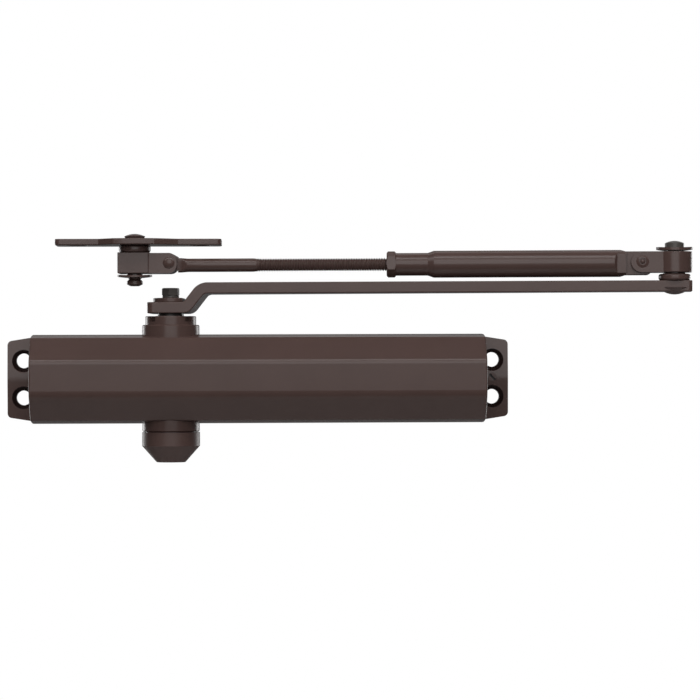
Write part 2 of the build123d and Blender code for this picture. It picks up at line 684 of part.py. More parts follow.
def piston():
    solid = cyl_x(PISTON_R, PISTON_LEFT, PISTON_RIGHT)
    solid -= block(SLOT_LEFT, SLOT_RIGHT, -RACK_ROOT, RACK_ROOT, -BORE_R, BORE_R)
    pitch = math.pi * GEAR_MODULE
    first = math.ceil((SLOT_LEFT - PINION_X) / pitch + 0.5)
    last = math.floor((SLOT_RIGHT - PINION_X) / pitch - 0.5)
    for i in range(first, last + 1):
        solid += Pos(PINION_X + i * pitch, 0, 0) * rack_tooth()
    for x in piston_ring_places():
        groove = cyl_x(BORE_R, x - RUN_FIT, x + PISTON_RING_WIDTH + RUN_FIT)
        solid -= groove - cyl_x(PISTON_R - PISTON_RING_DEPTH, x - PAST, x + PISTON_RING_WIDTH + PAST)
    seat_x = PISTON_LEFT + CHECK_BORE_DEPTH
    solid -= cyl_x(CHECK_BORE_R, PISTON_LEFT - PAST, seat_x)
    solid -= cyl_x(CHECK_SEAT_R, PISTON_LEFT, SLOT_LEFT + PAST)
    return Pos(0, PINION_Y, 0) * solid


def piston_rings():
    rings = []
    for x in piston_ring_places():
        outer = cyl_x(PISTON_R, x, x + PISTON_RING_WIDTH, PINION_Y)
        inner_r = PISTON_R - PISTON_RING_DEPTH + STATIC_FIT
        rings.append(outer - cyl_x(inner_r, x - PAST, x + PISTON_RING_WIDTH + PAST, PINION_Y))
    return Compound(children=rings)


def check_ball():
    to_seat = math.sqrt(CHECK_BALL_R ** 2 - CHECK_SEAT_R ** 2) + STATIC_FIT
    return Pos(PISTON_LEFT + CHECK_BORE_DEPTH - to_seat, PINION_Y, 0) * Sphere(CHECK_BALL_R)


def check_ball_retainer():
    to_seat = math.sqrt(CHECK_BALL_R ** 2 - CHECK_SEAT_R ** 2) + STATIC_FIT
    ring_end = PISTON_LEFT + CHECK_BORE_DEPTH - to_seat - CHECK_BALL_R - RUN_FIT
    ring = cyl_x(CHECK_BORE_R - STATIC_FIT, ring_end - CHECK_RING_THICK, ring_end, PINION_Y)
    return ring - cyl_x(CHECK_SEAT_R, ring_end - CHECK_RING_THICK - PAST, ring_end + PAST, PINION_Y)


def main_spring():
    """Compression spring with both ends ground flat."""
    length = SPRING_END - PISTON_RIGHT
    path = Helix(length / SPRING_TURNS, length, SPRING_OUTER_R - SPRING_WIRE_R)
    section = Plane(origin=path @ 0, z_dir=path % 0) * Circle(SPRING_WIRE_R)
    wire = sweep(section, path=path, is_frenet=True)
    wire = wire & cyl_z(SPRING_OUTER_R + PAST, 0, length)
    return Pos(PISTON_RIGHT, PINION_Y, 0) * Rot(0, 90, 0) * wire


def spring_seat():
    seat = cyl_x(SPRING_OUTER_R, SPRING_END, PLUG_INNER_X, PINION_Y)
    return seat + cyl_x(SPRING_PILOT_R, SPRING_END - SPRING_PILOT_LENGTH, SPRING_END, PINION_Y)


def valve_screw(length):
    """Slotted needle screw with its head at Z = 0 and a seal groove."""
    screw = cyl_z(VALVE_R, -length + RUN_FIT, 0)
    slot = block(-VALVE_R - PAST, VALVE_R + PAST, -VALVE_SLOT_WIDTH / 2, VALVE_SLOT_WIDTH / 2,
                 -VALVE_SLOT_DEPTH, PAST)
    groove_z = -length * VALVE_GROOVE_PART
    half = VALVE_ORING_R + STATIC_FIT
    groove = cyl_z(VALVE_R + PAST, groove_z - half, groove_z + half)
    core = cyl_z(VALVE_R - 2 * VALVE_ORING_R, -length, 0)
    return screw - slot - (groove - core)


def valve_oring(length):
    ring = Torus(VALVE_R - VALVE_ORING_R + STATIC_FIT, VALVE_ORING_R - STATIC_FIT)
    return Pos(0, 0, -length * VALVE_GROOVE_PART) * ring


BACKCHECK_PLACE = Pos(SCREW_SPACING_X / 2, -FOOT_THICK, BACKCHECK_Z) * Rot(90, 0, 0) * Rot(0, 0, -45)
SWEEP_PLACE = Pos(-HALF_BLOCK, -END_VALVE_DEPTH, END_VALVE_HEIGHT) * Rot(0, -90, 0)
LATCH_PLACE = Pos(-HALF_BLOCK, -END_VALVE_DEPTH, -END_VALVE_HEIGHT) * Rot(0, -90, 0)


def passage_ball():
    ball_x = FOOT_END_X - PASSAGE_BALL_INSET
    return Pos(ball_x, -PASSAGE_DEPTH, BACKCHECK_Z) * Sphere(PASSAGE_BALL_R)


def arm_plan():
    """Tapered outline of the arm from above, with rounded corners."""
    back = -ARM_HUB_BEYOND
    tip = ARM_LENGTH + ARM_TIP_BEYOND
    outline = make_face(Polyline(
        (back, -ARM_HUB_HALF), (ARM_BEND_AT, -ARM_HUB_HALF),
        (ARM_LENGTH, -ARM_TIP_HALF), (tip, -ARM_TIP_HALF),
        (tip, ARM_TIP_HALF), (ARM_LENGTH, ARM_TIP_HALF),
        (ARM_BEND_AT, ARM_HUB_HALF), (back, ARM_HUB_HALF),
        close=True,
    ))
    outline = fillet(outline.vertices().sort_by(Axis.X)[:2], ARM_HUB_CORNER_R)
    return fillet(outline.vertices().sort_by(Axis.X)[-2:], ARM_TIP_CORNER_R)


def stud_head(grow=0.0):
    """Domed lower head of the elbow stud, hanging from Z = 0; grown, it cuts the head's seat."""
    return Pos(0, 0, grow) * UPSIDE_DOWN * cap(STUD_HEAD_R + grow, STUD_HEAD_HEIGHT + grow)


def main_arm():
    """Flat arm, joggled up beyond its hub, in the arm's own frame."""
    miter = ARM_THICK / 2 * math.tan(math.radians(ARM_BEND_DEG) / 2)
    half_run = ARM_RISE / math.tan(math.radians(ARM_BEND_DEG)) / 2
    first = ARM_BEND_AT - half_run
    second = ARM_BEND_AT + half_run
    back = -ARM_HUB_BEYOND - PAST
    tip = ARM_LENGTH + ARM_TIP_BEYOND + PAST
    side = make_face(Polyline(
        (back, HUB_BOTTOM), (first + miter, HUB_BOTTOM),
        (second + miter, ARM_BOTTOM), (tip, ARM_BOTTOM),
        (tip, ARM_TOP), (second - miter, ARM_TOP),
        (first - miter, HUB_TOP), (back, HUB_TOP),
        close=True,
    ))
    for u, z, radius in (
        (first + miter, HUB_BOTTOM, HUB_BEND_OUTER_R),
        (first - miter, HUB_TOP, HUB_BEND_INNER_R),
        (second - miter, ARM_TOP, TOP_BEND_OUTER_R),
        (second + miter, ARM_BOTTOM, TOP_BEND_INNER_R),
    ):
        side = fillet(side.vertices().sort_by_distance((u, z, 0))[0], radius)
    width = 2 * max(ARM_HUB_HALF, ARM_TIP_HALF) + 2 * PAST
    bar = Pos(0, width / 2, 0) * extrude(Plane.XZ * side, width)
    plan = Pos(0, 0, HUB_BOTTOM - PAST) * extrude(arm_plan(), ARM_TOP - HUB_BOTTOM + 2 * PAST)
    arm = bar & plan
    arm = fillet(arm.edges(), ARM_EDGE_R)
    hole = SQUARE_ACROSS / 2 + STATIC_FIT
    square = block(-hole, hole, -hole, hole, HUB_BOTTOM - PAST, HUB_TOP + PAST)
    arm -= square & cyl_z(SQUARE_ROUND_R + STATIC_FIT, HUB_BOTTOM - PAST, HUB_TOP + PAST)
    arm -= cyl_z(STUD_SHANK_R + STATIC_FIT, ARM_BOTTOM - PAST, ARM_TOP + PAST, ARM_LENGTH)
    return arm - Pos(ARM_LENGTH, 0, STUD_HEAD_TOP) * stud_head(STATIC_FIT)


def arm_washer():
    """Washer on the hub, with a straight side where the arm bends up beside it."""
    disc = cyl_z(WASHER_R, HUB_TOP, WASHER_TOP)
    disc -= block(WASHER_FLAT_AT, WASHER_R + PAST, -WASHER_R, WASHER_R, HUB_TOP - PAST, WASHER_TOP + PAST)
    faces = disc.faces().sort_by(Axis.Z)
    disc = fillet(faces[0].edges() + faces[-1].edges(), WASHER_EDGE_R)
    return disc - cyl_z(SCREW_R + STATIC_FIT, HUB_TOP - PAST, WASHER_TOP + PAST)


def lock_washer():
    ring = cyl_z(LOCK_R, WASHER_TOP, LOCK_TOP)
    ring = fillet(ring.edges().filter_by(GeomType.CIRCLE), LOCK_EDGE_R)
    ring -= cyl_z(SCREW_R + STATIC_FIT, WASHER_TOP - PAST, LOCK_TOP + PAST)
    split = block(0, LOCK_R + PAST, -LOCK_SPLIT / 2, LOCK_SPLIT / 2, WASHER_TOP - PAST, LOCK_TOP + PAST)
    return ring - Rot(0, 0, LOCK_SPLIT_TURN) * split


def arm_screw():
    head = Rot(0, 0, SCREW_HEX_TURN) * chamfered_hexagon(SCREW_HEX, SCREW_HEX_HEIGHT)
    return Pos(0, 0, LOCK_TOP) * head + cyl_z(SCREW_R, LOCK_TOP - SCREW_LENGTH, LOCK_TOP)


def clip_rise(radius, clip_r, sag):
    """How far a bowed clip stands above its middle at a radius."""
    bow_r = (clip_r ** 2 + sag ** 2) / (2 * sag)
    return bow_r - math.sqrt(bow_r ** 2 - radius ** 2)


def retaining_clip(clip_r, pin_r, thick, sag):
    """Bowed clip with three prongs, open towards +Y, its lowest point at Z = 0."""
    ring = Circle(clip_r) - Circle(clip_r - CLIP_RING)
    groove_r = pin_r - CLIP_GROOVE + STATIC_FIT
    opening = Pos(0, clip_r) * Rectangle(2 * groove_r, 2 * clip_r)
    prong = Pos((clip_r - CLIP_RING / 2) / 2, 0) * Rectangle(clip_r - CLIP_RING / 2, CLIP_PRONG)
    outline = ring
    for turn in (-90, 30, 150):
        outline += Rot(0, 0, turn) * prong
    outline = outline - opening - Circle(groove_r)
    bow_r = (clip_r ** 2 + sag ** 2) / (2 * sag)
    shell = cyl_y(bow_r, -clip_r - PAST, clip_r + PAST)
    shell -= cyl_y(bow_r - thick, -clip_r - 2 * PAST, clip_r + 2 * PAST)
    slab = Pos(0, 0, -PAST) * extrude(outline, sag + thick + 2 * PAST)
    return slab & (Pos(0, 0, bow_r) * shell)


def clip_groove_height(clip_r, pin_r, thick, sag):
    return thick + clip_rise(pin_r, clip_r, sag) + CLIP_GROOVE_ROOM


def elbow_stud():
    groove_low = CLIP_BOTTOM - CLIP_GROOVE_ROOM / 2
    groove_high = groove_low + clip_groove_height(CLIP_R, STUD_R, CLIP_THICK, CLIP_SAG)
    top = groove_high + STUD_TOP_HEIGHT
    stud = cyl_z(STUD_SHANK_R, STUD_HEAD_TOP, ARM_TOP) + cyl_z(STUD_R, ARM_TOP, groove_low)
    stud += cyl_z(STUD_R - CLIP_GROOVE, groove_low, groove_high) + cyl_z(STUD_R, groove_high, top)
    stud += Pos(0, 0, top) * cap(STUD_R, STUD_CROWN)
    return stud + Pos(0, 0, STUD_HEAD_TOP) * stud_head()


def flanged_bush(pin_r, flange, collar):
    """Bush with its flange on Z = 0 and its collar above."""
    disc = cyl_z(BUSH_R, 0, flange)
    disc = fillet(disc.edges().filter_by(GeomType.CIRCLE), BUSH_EDGE_R)
    bush = disc + cyl_z(BUSH_COLLAR_R, 0, flange + collar)
    return bush - cyl_z(pin_r + RUN_FIT, -PAST, flange + collar + PAST)


def elbow_knuckle():
    """Barrel and clevis ears, in the forearm's frame."""
    far = ELBOW_PIN_AT + ELBOW_EAR_BEYOND
    ears = block(0, far, -KNUCKLE_EAR_HALF, KNUCKLE_EAR_HALF, KNUCKLE_BOTTOM, KNUCKLE_TOP)
    ears += cyl_y(ELBOW_EAR_R, -KNUCKLE_EAR_HALF, KNUCKLE_EAR_HALF, far, KNUCKLE_MID)
    slot_half = TUBE_FLAT_HALF + SIDE_FIT
    slot_end = far + ELBOW_EAR_R + PAST
    barrel = cyl_z(BARREL_R, KNUCKLE_BOTTOM, KNUCKLE_TOP)
    knuckle = fillet(barrel.edges().filter_by(GeomType.CIRCLE), BARREL_EDGE_R) + ears
    knuckle -= block(ELBOW_SLOT_START, slot_end, -slot_half, slot_half,
                     KNUCKLE_BOTTOM - PAST, KNUCKLE_TOP + PAST)
    knuckle -= cyl_z(STUD_R + RUN_FIT, KNUCKLE_BOTTOM - PAST, KNUCKLE_TOP + PAST)
    return knuckle - cyl_y(ELBOW_PIN_R + STATIC_FIT, -BARREL_R, BARREL_R, ELBOW_PIN_AT, ELBOW_PIN_Z)


def elbow_cross_pin():
    pin = cyl_z(ELBOW_PIN_R, -KNUCKLE_EAR_HALF, KNUCKLE_EAR_HALF)
    head = Pos(0, 0, KNUCKLE_EAR_HALF) * cap(ELBOW_PIN_HEAD_R, ELBOW_PIN_HEAD)
    top = KNUCKLE_EAR_HALF + ELBOW_PIN_HEAD
    dimple = cyl_z(ELBOW_PIN_DIMPLE_R, top - ELBOW_PIN_DIMPLE - PAST, top + PAST)
    button = cap(ELBOW_PIN_DIMPLE_R - ELBOW_PIN_DIMPLE, ELBOW_PIN_DIMPLE + PAST)
    head = head - dimple + Pos(0, 0, top - ELBOW_PIN_DIMPLE - PAST) * button
    pin += head + UPSIDE_DOWN * head
    return Pos(ELBOW_PIN_AT, 0, ELBOW_PIN_Z) * Rot(90, 0, 0) * pin


def forearm_tube():
    """Tube with milled cheeks at the elbow and a tapped neck, in the forearm's frame."""
    cone_end = TUBE_LENGTH_FULL + TUBE_CONE
    tube = turned([
        (0, TUBE_END), (TUBE_R, TUBE_END), (TUBE_R, TUBE_LENGTH_FULL), (TUBE_NECK_R, cone_end),
        (TUBE_NECK_R, TUBE_NECK_END), (0, TUBE_NECK_END),
    ])
    tube = Rot(0, 90, 0) * tube
    flat = TUBE_FLAT_HEIGHT / 2
    outline = make_face(Polyline(
        (TUBE_END, -flat), (TUBE_FLAT_END, -flat), (TUBE_TAPER_END, -TUBE_R - PAST),
        (TUBE_NECK_END, -TUBE_R - PAST), (TUBE_NECK_END, TUBE_R + PAST),
        (TUBE_TAPER_END, TUBE_R + PAST), (TUBE_FLAT_END, flat), (TUBE_END, flat),
        close=True,
    ))
    outline = fillet(outline.vertices().sort_by(Axis.X)[:2], TUBE_END_CORNER_R)
    tube = tube & (Pos(0, TUBE_R, 0) * extrude(Plane.XZ * outline, 2 * TUBE_R))
    pressed = make_face(Polyline(
        (TUBE_FLAT_END, TUBE_R - TUBE_PRESSED),
        (TUBE_TAPER_END - TUBE_PRESS_RUN, TUBE_R - TUBE_PRESSED), (TUBE_TAPER_END, TUBE_R),
        (TUBE_TAPER_END, TUBE_R + PAST), (TUBE_FLAT_END, TUBE_R + PAST),
        close=True,
    ))
    cheek = block(TUBE_END - PAST, TUBE_FLAT_END, TUBE_FLAT_HALF, TUBE_R + PAST, -TUBE_R, TUBE_R)
    cheek += block(TUBE_FLAT_END - TUBE_RELIEF_WIDTH, TUBE_FLAT_END,
                   TUBE_FLAT_HALF - TUBE_RELIEF_DEPTH, TUBE_R, -TUBE_R, TUBE_R)
    cheek += Pos(0, 0, -TUBE_R) * extrude(pressed, 2 * TUBE_R)
    tube -= cheek
    tube -= mirror(cheek, about=Plane.XZ)
    tube -= cyl_x(TUBE_BORE_R, TUBE_BORE_START, TUBE_LENGTH_FULL)
    tube -= cyl_x(ROD_SHANK_R + RUN_FIT, TUBE_BORE_START, TUBE_NECK_END + PAST)
    tube -= cyl_y(ELBOW_PIN_R + RUN_FIT, -TUBE_R, TUBE_R, ELBOW_PIN_AT, ELBOW_PIN_Z - FOREARM_Z)
    return Pos(0, 0, FOREARM_Z) * tube


def jam_nut():
    nut = chamfered_hexagon(NUT_HEX, NUT_THICK)
    nut -= cyl_z(ROD_SHANK_R + RUN_FIT, -PAST, NUT_THICK + PAST)
    along = Pos(TUBE_NECK_END + STACK_GAP, 0, FOREARM_Z) * Rot(0, 90, 0)
    return along * Rot(0, 0, NUT_TURN) * nut


def threaded_rod():
    """Rod with its thread as ring grooves, and a flattened tongue, in the forearm's frame."""
    root_r = ROD_R - ROD_THREAD_DEPTH
    points = [(0, ROD_INNER_END), (root_r, ROD_INNER_END)]
    flank = (ROD_PITCH - 2 * ROD_THREAD_CREST) / 2
    for i in range(ROD_THREADS):
        start = ROD_INNER_END + i * ROD_PITCH
        points += [
            (root_r, start + ROD_THREAD_CREST),
            (ROD_R, start + ROD_THREAD_CREST + flank),
            (ROD_R, start + 2 * ROD_THREAD_CREST + flank),
            (root_r, start + ROD_PITCH),
        ]
    thread_end = ROD_INNER_END + ROD_THREADS * ROD_PITCH
    taper_start = CROSS_AT - TONGUE_LENGTH - TONGUE_TAPER
    points += [(ROD_SHANK_R, thread_end), (ROD_SHANK_R, taper_start), (0, taper_start)]
    rod = Rot(0, 90, 0) * turned(points) + rod_tongue(taper_start)
    rod -= cyl_y(SHOE_CROSS_R + RUN_FIT, -TONGUE_HALF - PAST, TONGUE_HALF + PAST,
                 CROSS_AT, SHOE_PIN_Z - FOREARM_Z)
    return Pos(0, 0, FOREARM_Z) * rod


def rod_tongue(taper_start):
    """Flattened end of the rod: it gets thinner and a little higher, and ends in an eye."""
    half = TONGUE_HEIGHT / 2
    flat_start = taper_start + TONGUE_TAPER
    from_above = make_face(Polyline(
        (taper_start, -ROD_SHANK_R), (flat_start, -TONGUE_HALF), (CROSS_AT, -TONGUE_HALF),
        (CROSS_AT, TONGUE_HALF), (flat_start, TONGUE_HALF), (taper_start, ROD_SHANK_R),
        close=True,
    ))
    from_front = make_face(Polyline(
        (taper_start, -ROD_SHANK_R), (flat_start, -half), (CROSS_AT, -half),
        (CROSS_AT, half), (flat_start, half), (taper_start, ROD_SHANK_R),
        close=True,
    ))
    round_bar = Rot(0, 90, 0) * turned([
        (0, taper_start), (ROD_SHANK_R, taper_start), (TONGUE_ROUND_R, flat_start),
        (TONGUE_ROUND_R, CROSS_AT), (0, CROSS_AT),
    ])
    tongue = round_bar & (Pos(0, 0, -half) * extrude(from_above, TONGUE_HEIGHT))
    tongue = tongue & (Pos(0, ROD_SHANK_R, 0) * extrude(Plane.XZ * from_front, 2 * ROD_SHANK_R))
    return tongue + cyl_y(half, -TONGUE_HALF, TONGUE_HALF, CROSS_AT, SHOE_PIN_Z - FOREARM_Z)


def shoe_knuckle():
    """Square block with two ears towards the elbow, in the forearm's frame."""
    half = SHOE_BLOCK_WIDTH / 2
    ear_end = CROSS_AT - SHOE_EAR_BEYOND
    near = FOREARM_REACH - half
    core = block(near, FOREARM_REACH + half, -SHOE_BLOCK_HALF, SHOE_BLOCK_HALF,
                 SHOE_KNUCKLE_BOTTOM, SHOE_KNUCKLE_TOP)
    core = fillet(core.edges(), SHOE_BLOCK_EDGE_R)
    ears = block(ear_end, near + SHOE_EAR_OVERLAP, -SHOE_EAR_HALF, SHOE_EAR_HALF,
                 SHOE_KNUCKLE_BOTTOM, SHOE_KNUCKLE_TOP - SHOE_EAR_STEP)
    round_edges = ears.edges().filter_by(Axis.Y).sort_by(Axis.X)[:2]
    ears = fillet(round_edges, SHOE_EAR_CORNER_R)
    front_edges = ears.edges().filter_by(Axis.Z).sort_by(Axis.X)[-2:]
    ears = fillet(front_edges, SHOE_EAR_EDGE_R)
    slot_half = TONGUE_HALF + SIDE_FIT
    slot_end = CROSS_AT + TONGUE_HEIGHT / 2 + SHOE_SLOT_ROOM
    knuckle = core + ears
    knuckle -= block(ear_end - PAST, slot_end, -slot_half, slot_half,
                     SHOE_KNUCKLE_BOTTOM - PAST, SHOE_KNUCKLE_TOP + PAST)
    knuckle -= cyl_z(PIVOT_R + RUN_FIT, SHOE_KNUCKLE_BOTTOM - PAST, SHOE_KNUCKLE_TOP + PAST, FOREARM_REACH)
    return knuckle - cyl_y(SHOE_CROSS_R + STATIC_FIT, -SHOE_EAR_HALF - PAST, SHOE_EAR_HALF + PAST,
                           CROSS_AT, SHOE_PIN_Z)


def shoe_cross_pin():
    pin = cyl_z(SHOE_CROSS_R, -SHOE_EAR_HALF, SHOE_EAR_HALF)
    head = Pos(0, 0, SHOE_EAR_HALF) * cap(SHOE_CROSS_HEAD_R, SHOE_CROSS_HEAD)
    pin += head + UPSIDE_DOWN * head
    return Pos(CROSS_AT, 0, SHOE_PIN_Z) * Rot(90, 0, 0) * pin


def shoe_pivot_pin():
    groove_low = SHOE_CLIP_BOTTOM - CLIP_GROOVE_ROOM / 2
    groove_high = groove_low + clip_groove_height(SHOE_CLIP_R, PIVOT_R, SHOE_CLIP_THICK, SHOE_CLIP_SAG)
    bulb_high = groove_low - PIVOT_NECK
    bulb_low = bulb_high - PIVOT_BULB
    edge = PIVOT_BULB_EDGE
    seat_top = SHOE_TOP + PIVOT_HEAD_SEAT
    pin = turned([
        (0, bulb_low), (PIVOT_R - 2 * edge, bulb_low), (PIVOT_R, bulb_low + edge),
        (PIVOT_R, bulb_high - edge), (PIVOT_NECK_R, bulb_high), (PIVOT_UNDER_CLIP_R, groove_low),
        (PIVOT_R - CLIP_GROOVE, groove_low), (PIVOT_R - CLIP_GROOVE, groove_high),
        (PIVOT_R, groove_high), (PIVOT_R, SHOE_TOP), (PIVOT_HEAD_SEAT_R, SHOE_TOP),
        (PIVOT_HEAD_R, seat_top), (0, seat_top),
    ])
    return pin + Pos(0, 0, seat_top) * cap(PIVOT_HEAD_R, PIVOT_HEAD_DOME)


def shoe_plate():
    """Plate with a lobe for the pivot and two ears for the screws, in the shoe's frame."""
    back = SHOE_EAR_FRONT + SHOE_EAR_DEPTH
    left = SHOE_OFFSET - SHOE_HALF_LENGTH
    right = SHOE_OFFSET + SHOE_HALF_LENGTH
    lobe = ThreePointArc(
        (-SHOE_LOBE_HALF, -SHOE_LOBE_CORNER), (0, -SHOE_LOBE_FRONT), (SHOE_LOBE_HALF, -SHOE_LOBE_CORNER)
    )
    rest = Polyline(
        (SHOE_LOBE_HALF, -SHOE_LOBE_CORNER), (SHOE_OFFSET + SHOE_EAR_START, SHOE_EAR_FRONT),
        (right, SHOE_EAR_FRONT), (right, back), (left, back), (left, SHOE_EAR_FRONT),
        (SHOE_OFFSET - SHOE_EAR_START, SHOE_EAR_FRONT), (-SHOE_LOBE_HALF, -SHOE_LOBE_CORNER),
    )
    outline = make_face([lobe, rest])
    ends = outline.vertices().sort_by(Axis.X)
    outline = fillet(ends[:2] + ends[-2:], SHOE_CORNER_R)
    lobe_corners = outline.vertices().sort_by(Axis.Y)[:2]
    outline = fillet(lobe_corners, SHOE_LOBE_CORNER_R)
    plate = Pos(0, 0, SHOE_BOTTOM) * extrude(outline, SHOE_THICK)
    plate = fillet(plate.faces().filter_by(Axis.Z).edges(), SHOE_EDGE_R)
    plate -= cyl_z(PIVOT_R + STATIC_FIT, SHOE_BOTTOM - PAST, SHOE_TOP + PAST)
    screw = UPSIDE_DOWN * countersunk(SHOE_HOLE_R, SHOE_COUNTERSINK_R, SHOE_THICK)
    hole_y = SHOE_EAR_FRONT + SHOE_EAR_DEPTH / 2
    for x in (-SHOE_SCREW_SPACING / 2, SHOE_SCREW_SPACING / 2):
        plate -= Pos(SHOE_OFFSET + x, hole_y, SHOE_BOTTOM) * screw
    return plate


ELBOW_IN_ARM = ARM_FRAME * Pos(ARM_LENGTH, 0, 0)
ELBOW_CLIP_PLACE = ELBOW_IN_ARM * Pos(0, 0, CLIP_BOTTOM)
ELBOW_BUSH_PLACE = FOREARM_FRAME * Pos(0, 0, BUSH_BOTTOM)
SHOE_BUSH_PLACE = SHOE_FRAME * Pos(0, 0, SHOE_BOTTOM) * UPSIDE_DOWN
SHOE_CLIP_PLACE = SHOE_FRAME * Pos(0, 0, SHOE_CLIP_BOTTOM)

PIECES = {
    "closer_body": closer_body(),
    "spring_end_plug": PLUG_PLACES["spring"] * end_plug(),
    "pinion_end_plug": PLUG_PLACES["pinion"] * end_plug(),
    "end_plug_orings": Compound(children=[place * end_plug_oring() for place in PLUG_PLACES.values()]),
    "upper_packing_nut": PINION_FRAME * packing_nut(UPPER_BOSS_TOP),
    "lower_packing_nut": PINION_FRAME * UPSIDE_DOWN * packing_nut(LOWER_BOSS_TOP),
    "upper_bearing": PINION_FRAME * shaft_bearing(),
    "lower_bearing": PINION_FRAME * UPSIDE_DOWN * shaft_bearing(),
    "upper_shaft_seal": PINION_FRAME * shaft_seal(UPPER_BOSS_TOP),
    "lower_shaft_seal": PINION_FRAME * shaft_seal(-LOWER_BOSS_TOP),
    "pinion_cap": PINION_FRAME * pinion_cap(),
    "main_spring": main_spring(),
    "spring_seat": spring_seat(),
    "passage_ball": passage_ball(),
    "backcheck_valve": BACKCHECK_PLACE * valve_screw(BACKCHECK_LENGTH),
    "backcheck_valve_oring": BACKCHECK_PLACE * valve_oring(BACKCHECK_LENGTH),
    "sweep_valve": SWEEP_PLACE * valve_screw(END_VALVE_LENGTH),
    "sweep_valve_oring": SWEEP_PLACE * valve_oring(END_VALVE_LENGTH),
    "latch_valve": LATCH_PLACE * valve_screw(END_VALVE_LENGTH),
    "latch_valve_oring": LATCH_PLACE * valve_oring(END_VALVE_LENGTH),
    "pinion_shaft": PINION_FRAME * pinion_shaft(),
    "piston": piston(),
    "piston_rings": piston_rings(),
    "check_ball": check_ball(),
    "check_ball_retainer": check_ball_retainer(),
    "main_arm": ARM_FRAME * main_arm(),
    "arm_washer": ARM_FRAME * arm_washer(),
    "lock_washer": ARM_FRAME * lock_washer(),
    "arm_screw": ARM_FRAME * arm_screw(),
    "elbow_stud": ELBOW_IN_ARM * elbow_stud(),
    "elbow_clip": ELBOW_CLIP_PLACE * retaining_clip(CLIP_R, STUD_R, CLIP_THICK, CLIP_SAG),
    "elbow_bushing": ELBOW_BUSH_PLACE * flanged_bush(STUD_R, BUSH_FLANGE, BUSH_COLLAR),
    "elbow_knuckle": FOREARM_FRAME * elbow_knuckle(),
    "elbow_cross_pin": FOREARM_FRAME * elbow_cross_pin(),
    "forearm_tube": FOREARM_FRAME * forearm_tube(),
    "jam_nut": FOREARM_FRAME * jam_nut(),
    "threaded_rod": FOREARM_FRAME * threaded_rod(),
    "shoe_knuckle": FOREARM_FRAME * shoe_knuckle(),
    "shoe_cross_pin": FOREARM_FRAME * shoe_cross_pin(),
    "shoe_bushing": SHOE_BUSH_PLACE * flanged_bush(PIVOT_R, SHOE_BUSH_FLANGE, SHOE_BUSH_COLLAR),
    "shoe_plate": SHOE_FRAME * shoe_plate(),
    "shoe_pivot_pin": SHOE_FRAME * shoe_pivot_pin(),
    "shoe_clip": SHOE_CLIP_PLACE * retaining_clip(SHOE_CLIP_R, PIVOT_R, SHOE_CLIP_THICK, SHOE_CLIP_SAG),
}

os.makedirs("parts", exist_ok=True)
for name, piece in PIECES.items():
    export_step(piece, f"parts/{name}.step")
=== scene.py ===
import json
import math

import bmesh
import bpy
from mathutils import Matrix, Vector


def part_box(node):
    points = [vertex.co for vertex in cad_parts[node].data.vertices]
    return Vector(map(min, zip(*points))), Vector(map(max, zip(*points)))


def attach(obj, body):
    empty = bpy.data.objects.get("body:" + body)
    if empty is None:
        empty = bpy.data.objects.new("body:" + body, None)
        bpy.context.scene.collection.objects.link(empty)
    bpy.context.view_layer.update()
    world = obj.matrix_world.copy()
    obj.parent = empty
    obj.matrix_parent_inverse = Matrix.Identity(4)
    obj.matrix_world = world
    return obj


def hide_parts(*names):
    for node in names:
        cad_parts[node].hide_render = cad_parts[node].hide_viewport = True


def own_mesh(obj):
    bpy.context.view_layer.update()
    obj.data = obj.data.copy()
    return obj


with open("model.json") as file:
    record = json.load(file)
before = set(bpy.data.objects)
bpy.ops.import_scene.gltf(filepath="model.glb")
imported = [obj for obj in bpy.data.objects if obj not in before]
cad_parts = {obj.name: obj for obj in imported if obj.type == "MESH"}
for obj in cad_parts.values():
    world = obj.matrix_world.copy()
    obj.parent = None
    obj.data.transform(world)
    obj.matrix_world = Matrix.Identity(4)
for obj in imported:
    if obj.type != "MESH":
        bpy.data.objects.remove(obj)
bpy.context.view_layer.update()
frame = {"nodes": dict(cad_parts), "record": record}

MM = 0.001
UP = Vector((0.0, 0.0, 1.0))
TINY = 0.001    # keeps a divisor away from zero
JOINTS = {joint["name"]: joint for joint in frame["record"]["behaviour"]["joints"]}


# Materials

NOISE_LOW = 0.3     # most of a noise texture's values lie between these two
NOISE_HIGH = 0.7
PAINT_SPECULAR = 0.3
PAINT_ROUGHNESS = 0.25
PAINT_PEEL = 0.015
GRAINY_PEEL = 0.05
COUNTERSINK_R = 5.9 * MM
COUNTERSINK_EDGE = 0.3 * MM     # width over which the paint turns into the painted shade of a countersink
FINISH_EDGE = 0.2 * MM          # half the width over which one finish turns into another
VALVE_PAINT_DEPTH = 0.5 * MM    # how far behind the valve's face the paint ends and the painted shade of its slot begins


def new_material(name):
    """A node material with its tree, its shader and the object's own coordinates."""
    material = bpy.data.materials.new(name)
    material.use_nodes = True
    tree = material.node_tree
    coordinates = tree.nodes.new("ShaderNodeTexCoord").outputs["Object"]
    return material, tree, tree.nodes["Principled BSDF"], coordinates


def noise(tree, coordinates, scale, detail, roughness):
    node = tree.nodes.new("ShaderNodeTexNoise")
    node.inputs["Scale"].default_value = scale
    node.inputs["Detail"].default_value = detail
    node.inputs["Roughness"].default_value = roughness
    tree.links.new(coordinates, node.inputs["Vector"])
    return node.outputs["Fac"]


def spread(tree, value, low, high):
    """Stretches a noise value over the span from low to high."""
    node = tree.nodes.new("ShaderNodeMapRange")
    node.inputs["From Min"].default_value = NOISE_LOW
    node.inputs["From Max"].default_value = NOISE_HIGH
    node.inputs["To Min"].default_value = low
    node.inputs["To Max"].default_value = high
    tree.links.new(value, node.inputs["Value"])
    return node.outputs["Result"]


def scaled(colour, factor):
    return tuple(channel * factor for channel in colour)


